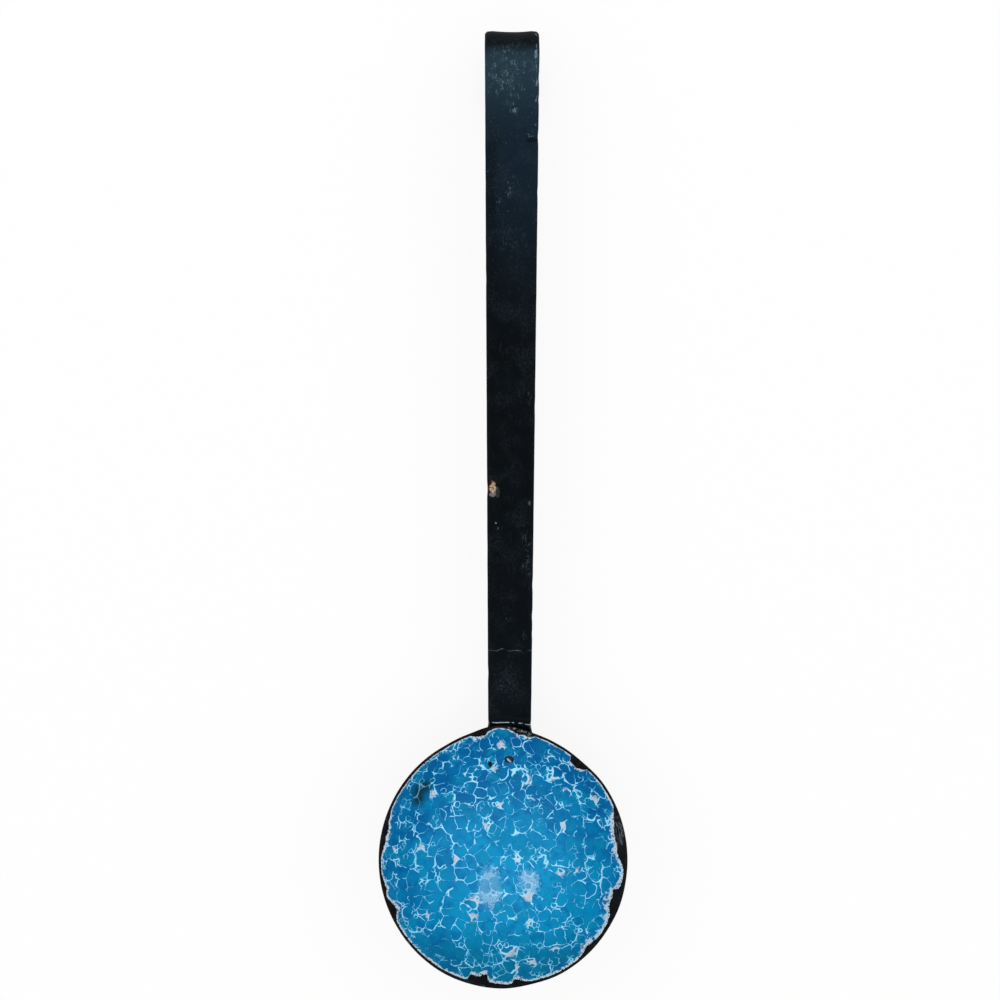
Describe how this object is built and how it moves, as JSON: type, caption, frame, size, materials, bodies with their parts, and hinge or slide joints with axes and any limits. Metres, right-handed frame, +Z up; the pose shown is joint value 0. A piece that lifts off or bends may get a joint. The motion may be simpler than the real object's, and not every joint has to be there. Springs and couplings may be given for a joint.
{
  "type": "soup ladle",
  "caption": "Round-bottomed enamel soup ladle, black outside with a mottled blue and white lining; a flat tapering strap handle is riveted on and rolled over into a hanging hook.",
  "frame": {"origin": "on the table, under the middle of the bounding box, with the ladle lying at rest on its bowl and hook", "axes": "+Y from the bowl to the hook, +Z up out of the bowl's mouth, +X to the right seen from above with the hook away"},
  "size_m": [0.095, 0.365, 0.0455],
  "materials": {
    "black_enamel": "worn black enamel on sheet steel",
    "blue_enamel": "glossy blue enamel with white veins, chipped at the rim",
    "handle_enamel": "worn black enamel on strip steel",
    "rivet_steel": "dark steel, enamel worn off"
  },
  "bodies": {
    "root": {"bowl_shell": "black_enamel", "bowl_lining": "blue_enamel", "handle_strap": "handle_enamel", "rivet_left": "rivet_steel", "rivet_centre": "rivet_steel", "rivet_right": "rivet_steel"}
  },
  "joints": []
}
